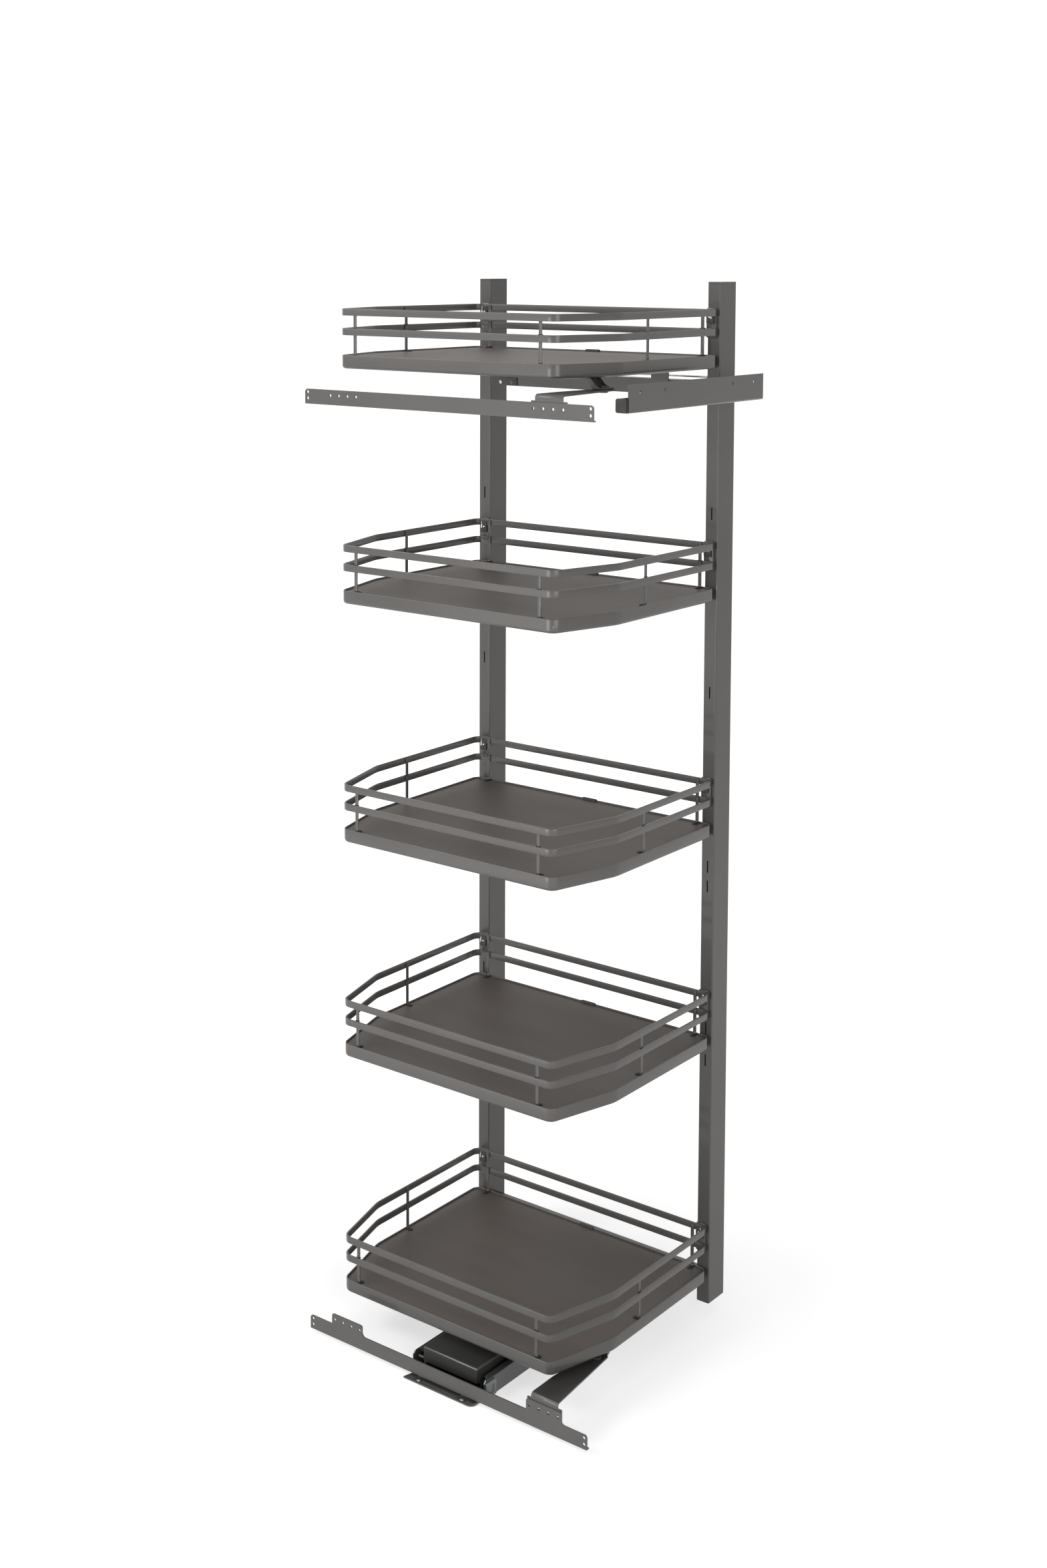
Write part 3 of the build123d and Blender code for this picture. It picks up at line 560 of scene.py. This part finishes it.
# %% The rear hooks
POST_WIDTH, SLOT_DEPTH = 24.0, 449.2
SLOT_OUT = HALF - POST_WIDTH / 2
RECESS_FACE = REAR - BAR
PLATE_SIZE, TONGUE_SIZE, HOOK_SIZE = (18, 48, 3.3), (8.8, 13, 2.0), (4.6, 24, 2.0)
SHADE_PLATE_SIZE, ZINC_BAR_SIZE = (13, 19, 1.3), (2.0, 11.5, 0.7)


def hook_plates(slot_x, inward):
    """The plate on the rails, the tongue through the slot and the hook behind it."""
    return [slab((slot_x + 3 * inward, REAR + 1.7, 73), X, Z, PLATE_SIZE, 2.5),
            slab((slot_x, SLOT_DEPTH, 74.5), Y, Z, TONGUE_SIZE, 0.8),
            slab((slot_x, SLOT_DEPTH + 0.4, 70), Y, Z, HOOK_SIZE, 1.0)]


def painted_shade_plate(slot_x, inward):
    """The darker plate in front: painted shade that stands for the recess."""
    return [slab((slot_x + 3.4 * inward, RECESS_FACE - 0.6, 81.5), X, Z, SHADE_PLATE_SIZE, 1.2, 0.25)]


def lock_screws(slot_x, inward):
    """A zinc bar and two zinc heads, which face the front."""
    return [slab((slot_x - 0.8, RECESS_FACE - 1.5, 85), X, Z, ZINC_BAR_SIZE, 0.9, 0.2),
            dome((slot_x + 4.2 * inward, RECESS_FACE - 1.25, 82), FORWARDS, 2.0, 1.1),
            dome((slot_x + 7 * inward, REAR - 1.9, 74), FORWARDS, 2.6, 0.1)]


slots = [(MIDDLE - SLOT_OUT, 1), (MIDDLE + SLOT_OUT, -1)]
for name, kind, material, slot, solids in (
        ("rear_hooks", hook_plates, POWDER, "dark_metal", ["hook_brackets"]),
        ("hook_recess_painted_shade", painted_shade_plate, SHADE, "dark_metal", []),
        ("hook_zinc", lock_screws, ZINC, "zinc", ["hook_screws"])):
    one_tray = [part for slot_x, inward in slots for part in kind(slot_x, inward)]
    all_trays = [part for level in LEVELS for part in lifted(one_tray, level)]
    assemble(name, all_trays, material, "frame", solids)

# %% [markdown]
# ## The spring clips
# A strip of thin sheet folds over the middle of each rear rim and reaches the board. Its
# line goes up behind the rim, over it in two quarter turns and down to the board. Bending
# a flat strip with a modifier would need a helper object. The sweep that made the
# uprights does it too, a little narrower at both ends.

# %% Spring clips
CLIP_BEHIND, CLIP_BEND, CLIP_TURN_LEVEL = 0.6, 1.8, 21.2
CLIP_WIDTH, CLIP_THICK, CLIP_BOTTOM = 28.0, 1.0, 11.0
line = [(REAR + CLIP_BEHIND, CLIP_BOTTOM), (REAR + CLIP_BEHIND, CLIP_BOTTOM + 4)]
line += arc(REAR + CLIP_BEHIND - CLIP_BEND, CLIP_TURN_LEVEL, CLIP_BEND, 0, 90, 5)
line += arc(REAR - CLIP_BEND, CLIP_TURN_LEVEL, CLIP_BEND, 90, 180, 5)
line += [(REAR - 2 * CLIP_BEND, PANEL_TOP + 0.1)]
widths = np.full(len(line), CLIP_WIDTH)
widths[0], widths[-1] = CLIP_WIDTH - 3.0, CLIP_WIDTH - 1.5
out, up, across = bent_strip(np.array(line), widths, np.full(len(line), CLIP_THICK), 0.3)
clip = [shell(np.stack([MIDDLE + across, out, up], -1) * MM)]
clips = [part for level in LEVELS for part in lifted(clip, level)]
assemble("spring_clips", clips, SHADE, "frame", ["rim_clips"])

# %% [markdown]
# ## Small fasteners
# The screws of the cross bars' feet are too small for the solid model, but the eye looks
# for them. A pan head screw is a low dome with a cross recess. A Boolean could cut the
# cross. Here the dome's points sink where they lie close to either of two crossed lines,
# which keeps one clean grid.

# %% Screw heads
def screw(centre, axis, radius, height=1.6, turn=0.4):
    """Pan head: a dome whose points sink where their distance to a crossed line is small.
    Above three rings of the rim, the height is the root of one minus a square."""
    radii = np.concatenate([[1.0, 1.0, 0.97], np.linspace(0.9, 0.04, 12)]) * radius
    crown = np.sqrt(1 - np.linspace(0.8, 0.02, 12) ** 2)
    heights = np.concatenate([[-0.3, 0.45, 0.6], crown]) * height
    a = np.linspace(0, 2 * np.pi, 48, endpoint=False)
    p, q = radii[:, None] * np.cos(a + turn), radii[:, None] * np.sin(a + turn)
    in_cross = np.minimum(np.abs(p), np.abs(q)) < 0.16 * radius
    sunk = in_cross & (np.hypot(p, q) < 0.62 * radius)
    depth = heights[:, None] - np.where(sunk, 0.55 * height, 0.0)
    return shell(turned(centre, axis, (0.2, 0.3, 0.9), radii, depth, 48) * MM)


CROSSBAR_BOTTOMS = (1549.0, 48.0)
FEET_FACE, FEET_END = 442.6, HALF - POST_WIDTH - 2
SCREW_IN, SCREW_UP, SCREW_RADIUS = 23.0, 6.0, 2.9
BOLT_IN, BOLT_UP, BOLT_RADIUS = 47.0, 7.0, 3.2
bright, dark = [], []
for bottom in CROSSBAR_BOTTOMS:
    for side in (-1, 1):
        screw_x = MIDDLE + side * (FEET_END - SCREW_IN)
        bolt_x = MIDDLE + side * (FEET_END - BOLT_IN)
        bright.append(screw((screw_x, FEET_FACE, bottom + SCREW_UP), FORWARDS, SCREW_RADIUS))
        dark.append(screw((bolt_x, FEET_FACE, bottom + BOLT_UP), FORWARDS, BOLT_RADIUS))
assemble("crossbar_screws", bright, ZINC, "frame")
assemble("crossbar_bolts", dark, BLACK, "frame")

# %% [markdown]
# ## The plug in the side rail
# A moulded plug closes the front of the rail's channel. Its face is a small plate with
# round corners and a soft edge, and it stands a little off the wall plate, so a dark slit
# shows between them. The plain solid block could be bevelled, but it would have no slit.
# So the face is one slab, and two black slabs lie behind it: the plug's black body, and a thin black
# slab in the slit that is painted shade, so the slit reads dark.

# %% Rail plug
WALL, RAIL_FRONT, RAIL_BOTTOM = 282.0, 91.0, 1547.0
FACE_SIZE, BLOCK_SIZE, SLIT_SHADE_SIZE = (19.2, 21.4, 3.2), (17.0, 16.4, 6.4), (3.2, 20.0, 2.1)
face = slab((WALL - 12.6, RAIL_FRONT - 1.6, RAIL_BOTTOM + 10.9), X, Z, FACE_SIZE, 3.4, 0.8)
block = slab((WALL - 11.0, RAIL_FRONT + 2.4, RAIL_BOTTOM + 10.6), X, Z, BLOCK_SIZE, 1.5, 0.3)
# A thin black slab in the slit between face and wall plate: painted shade.
slit_shade = slab((WALL - 2.6, RAIL_FRONT - 1.1, RAIL_BOTTOM + 11.0), X, Z, SLIT_SHADE_SIZE, 0.5, 0.15)
assemble("rail_plug", [face], SHADE, "base", ["rail_end_cap"])
assemble("rail_plug_body_and_slit_shade", [block, slit_shade], DARK_MOULDING, "base", ["rail_end_cap"])

# %% [markdown]
# ## Finishing the engineering solids
# Posts, strips, arms and the base already have the right shape. What they lack is the
# softened edge of real sheet. They could be built again as new meshes, but their own
# faces are exact. A Weld modifier joins their loose triangles, a planar Decimate turns
# flat areas back into single faces, and a small Bevel then rounds every sharp edge. The
# solids' own points stay untouched, because all this is in modifiers.

# %% Soft edges and finishes for the solids
JOIN_WITHIN, FLAT_BELOW, SHARP_ABOVE = 0.000005, math.radians(1.0), math.radians(40)
# Faces whose normal is this close to vertical count as level plates; on the arms they take painted
# shade.
LEVEL_FACE = 0.9


def soften(name, width):
    """Weld, flatten and bevel one solid through live modifiers; the width is in millimetres."""
    piece = node[name]
    weld = piece.modifiers.new("join", "WELD")
    weld.merge_threshold = JOIN_WITHIN
    flat = piece.modifiers.new("flatten", "DECIMATE")
    flat.decimate_type = "DISSOLVE"
    flat.angle_limit = FLAT_BELOW
    bevel = piece.modifiers.new("soft_edge", "BEVEL")
    bevel.width = width * MM
    bevel.segments = 2
    bevel.limit_method = "ANGLE"
    bevel.angle_limit = SHARP_ABOVE
    bevel.use_clamp_overlap = True
    bevel.harden_normals = False


# Each solid's finish and the width of its soft edge. The posts' edges are round already.
finish = {
    "left_post": (POST_TONE_AND_SHADE, 0.0), "right_post": (POST_TONE_AND_SHADE, 0.0), "post_caps": (POST_TONE_AND_SHADE, 0.4),
    "top_crossbar": (POWDER, 0.6), "bottom_crossbar": (POWDER, 0.6), "crossbar_feet": (SHADE, 0.5),
    "turntable_race": (BLACK, 0.4), "turntable_plate": (BLACK, 0.4),
    "turntable_pin": (RAW_STEEL, 0.3), "guide_pin": (RAW_STEEL, 0.3), "guide_arm": (ZINC, 0.5),
    "slider_block": (DARK_MOULDING, 0.5), "glide_shoes": (DARK_MOULDING, 0.5),
    "side_rail": (POWDER, 0.25), "top_door_strip": (POWDER, 0.25),
    "bottom_door_strip": (POWDER, 0.25), "top_door_arm": (POWDER, 0.3),
    "bottom_door_arm": (POWDER, 0.3), "top_pivot_bracket": (POWDER, 0.6),
    "bottom_pivot_bracket": (POWDER, 0.6), "door_arm_pins": (BLACK, 0.3),
    "floor_base": (BLACK, 0.3), "base_clip": (MOULDING, 0.4), "catch_pin": (RAW_STEEL, 0.6),
    "outer_rails": (RAW_STEEL, 0.2), "middle_rails": (RAW_STEEL, 0.2),
    "inner_rails": (RAW_STEEL, 0.2), "ball_cages": (ZINC, 0.2),
    "carriage_plate": (BLACK, 0.3), "carriage_cover": (BLACK, 0.9),
}
for name, (material, edge) in finish.items():
    materials = node[name].data.materials
    materials.clear()
    materials.append(material)
    if edge:
        soften(name, edge)

# The arms' flat plates take a darker copy of the coat than their bent webs: painted shade, as they
# lie under the trays.
for name in ("top_door_arm", "bottom_door_arm"):
    mesh = node[name].data
    mesh.materials.append(ARM_PLATE_PAINTED_SHADE)
    normals = np.zeros(len(mesh.polygons) * 3, np.float32)
    mesh.polygons.foreach_get("normal", normals)
    mesh.polygons.foreach_set("material_index", (np.abs(normals[2::3]) > LEVEL_FACE).astype(np.int32))
print("solids finished:", len(finish))

# %% [markdown]
# ## Floor and backdrop
# The product stands on a plain white ground. A bright lamp could burn the ground out to
# white, but it would also bleach the metal. The white comes from the ground's own
# material instead. It adds a little light of its own only for rays that show it, so
# nothing extra falls on the metal, and the soft shadow under the base stays visible.
# The ground is one sheet: a floor that curves up into a wall far behind, with no corner.

# %% Ground material
GROUND_GREY, FAR_GLOW, NEAR_GLOW = 0.72, 1.0, 0.62
NEAR, FAR = 0.4, 2.0


def shows_background(nodes, link):
    """Output that is 1 for camera, glossy and transmission rays, and 0 for the others."""
    rays = nodes.new("ShaderNodeLightPath")
    seen, shown = nodes.new("ShaderNodeMath"), nodes.new("ShaderNodeMath")
    seen.operation = shown.operation = "MAXIMUM"
    link(rays.outputs["Is Camera Ray"], seen.inputs[0])
    link(rays.outputs["Is Glossy Ray"], seen.inputs[1])
    link(seen.outputs[0], shown.inputs[0])
    link(rays.outputs["Is Transmission Ray"], shown.inputs[1])
    return shown.outputs[0]


def ground_finish():
    """Pale diffuse ground that looks brighter to the camera than it is as a light.
    The added brightness grows with the distance from the product, so that the shadow at its
    foot stays visible and the far backdrop is plain white."""
    material = bpy.data.materials.new("pale_ground")
    material.use_nodes = True
    nodes, link = material.node_tree.nodes, material.node_tree.links.new
    shader = nodes["Principled BSDF"]
    shader.inputs["Base Color"].default_value = (GROUND_GREY, GROUND_GREY, GROUND_GREY, 1)
    shader.inputs["Roughness"].default_value = 0.9
    shader.inputs["Specular IOR Level"].default_value = 0.0
    place, distance = nodes.new("ShaderNodeTexCoord"), nodes.new("ShaderNodeVectorMath")
    distance.operation = "LENGTH"
    link(place.outputs["Object"], distance.inputs[0])
    reach = nodes.new("ShaderNodeMapRange")
    for socket, value in (("From Min", NEAR), ("From Max", FAR),
                          ("To Min", NEAR_GLOW), ("To Max", FAR_GLOW)):
        reach.inputs[socket].default_value = value
    link(distance.outputs["Value"], reach.inputs["Value"])
    strength = nodes.new("ShaderNodeMath")
    strength.operation = "MULTIPLY"
    link(shows_background(nodes, link), strength.inputs[0])
    link(reach.outputs["Result"], strength.inputs[1])
    glow, add = nodes.new("ShaderNodeEmission"), nodes.new("ShaderNodeAddShader")
    glow.inputs["Color"].default_value = (1, 1, 1, 1)
    link(strength.outputs[0], glow.inputs["Strength"])
    link(shader.outputs["BSDF"], add.inputs[0])
    link(glow.outputs["Emission"], add.inputs[1])
    link(add.outputs["Shader"], nodes["Material Output"].inputs["Surface"])
    return material


ground = ground_finish()
print("ground material nodes:", len(ground.node_tree.nodes))

# %% [markdown]
# ## The shape of the ground
# A studio hangs a roll of paper so that it curves from wall to floor. A plane with a
# bevelled fold would do. The same grid as before is shorter: a floor line, a quarter
# circle and a wall line, carried sideways. It lies a little below zero, so that it never
# shares a place with the base's underside, and its wall stands so far back that no view
# from behind has it in the way.

# %% Ground shape
DROP = 0.0006


def sweep_wall(radius=3.0, behind=12.0, ahead=-12.0, high=9.0, half=12.0):
    """Studio cove: a flat floor, a quarter circle and a wall, carried sideways as a grid."""
    t = np.radians(np.linspace(270, 360, 16))
    y = np.concatenate([[ahead], behind - radius + radius * np.cos(t), [behind]])
    z = np.concatenate([[0.0], radius + radius * np.sin(t), [high]])
    x = np.linspace(-half, half, 3)
    points = np.stack(np.broadcast_arrays(x[:, None], y[None], z[None] - DROP), -1)
    rows, columns = points.shape[:2]
    r, c = np.meshgrid(np.arange(rows - 1), np.arange(columns - 1), indexing="ij")
    quads = np.stack([r * columns + c, (r + 1) * columns + c,
                      (r + 1) * columns + c + 1, r * columns + c + 1], -1)
    mesh = bpy.data.meshes.new("studio_ground")
    mesh.from_pydata(points.reshape(-1, 3).tolist(), [], quads.reshape(-1, 4).tolist())
    mesh.polygons.foreach_set("use_smooth", np.ones(len(mesh.polygons), bool))
    return mesh


cove = bpy.data.objects.new("studio_ground", sweep_wall())
cove.data.materials.append(ground)
bpy.context.scene.collection.objects.link(cove)
print("ground faces:", len(cove.data.polygons))

# %% [markdown]
# ## Light
# A product picture is lit with large, soft boxes, so that dark metal shows its form in
# long, quiet gradients. One sun lamp would be simpler, but its shadows are hard. Four
# broad lamps stand low in front, left, right and above, and a dim white world fills the
# shadows. One small lamp under the camera makes the bright points on the trays' noses.

# %% World and lamps
WORLD_LIGHT, WORLD_SEEN = 0.24, 1.0
world = bpy.data.worlds.new("studio")
bpy.context.scene.world = world
world.use_nodes = True
nodes, link = world.node_tree.nodes, world.node_tree.links.new
sky = nodes["Background"]
sky.inputs["Color"].default_value = (1, 1, 1, 1)
strength = nodes.new("ShaderNodeMapRange")
strength.inputs["To Min"].default_value = WORLD_LIGHT
strength.inputs["To Max"].default_value = WORLD_SEEN
link(shows_background(nodes, link), strength.inputs["Value"])
link(strength.outputs["Result"], sky.inputs["Strength"])


def lamp(name, place, aim, size, watts):
    """Square area lamp at a place, turned so that its face looks at the aim point."""
    light = bpy.data.lights.new(name, "AREA")
    light.shape, light.size, light.energy = "SQUARE", size, watts
    holder = bpy.data.objects.new(name, light)
    holder.location = place
    holder.rotation_euler = (Vector(aim) - Vector(place)).to_track_quat("-Z", "Y").to_euler()
    bpy.context.scene.collection.objects.link(holder)
    print("lamp", name, watts, "W")


lamp("front_low", (-0.9, -3.5, 0.75), (0, 0.1, 0.5), 1.9, 66)
lamp("key_left", (-2.0, -1.9, 2.8), (0, 0.2, 0.6), 1.3, 34)
lamp("fill_right", (3.1, -1.2, 1.5), (0, 0.2, 0.8), 2.0, 44)
lamp("top_soft", (0.1, -0.1, 3.9), (0, 0.2, 0), 1.6, 10)
lamp("small_bright", (1.97, -2.36, 0.68), (0.18, 0.05, 1.2), 0.09, 5)

# %% [markdown]
# ## The camera
# The picture was taken from a little above the top tray and to the right, with a lens
# that sees about the same as 46 mm on full frame. Tilting the camera down would frame the
# organiser, but its posts would lean together. The camera stays nearly level instead and
# the frame is shifted down, as a view camera does, which keeps the posts nearly upright.

# %% Camera
CAMERA_PLACE = (1.93495, -2.31536, 1.77959)
YAW, PITCH, ROLL = 0.6543, 0.0884, 0.0035
level_ahead = Vector((-math.sin(YAW), math.cos(YAW), 0))
level_right = Vector((math.cos(YAW), math.sin(YAW), 0))
ahead = level_ahead * math.cos(PITCH) - Vector((0, 0, math.sin(PITCH)))
above = Vector((0, 0, math.cos(PITCH))) + level_ahead * math.sin(PITCH)
right = level_right * math.cos(ROLL) + above * math.sin(ROLL)
up = above * math.cos(ROLL) - level_right * math.sin(ROLL)
lens = bpy.data.cameras.new("photo_camera")
lens.sensor_fit, lens.sensor_width, lens.sensor_height = "AUTO", 36.0, 36.0
lens.lens, lens.shift_x, lens.shift_y = 46.245, 0.0, -0.225
lens.clip_start, lens.clip_end = 0.05, 60.0
camera = bpy.data.objects.new("photo_camera", lens)
turned_axes = Matrix((right, up, -ahead)).transposed().to_4x4()
camera.matrix_world = Matrix.Translation(CAMERA_PLACE) @ turned_axes
bpy.context.scene.collection.objects.link(camera)
bpy.context.scene.camera = camera
bpy.context.scene.view_settings.view_transform = "Standard"
print("camera at", [round(v, 3) for v in camera.location])
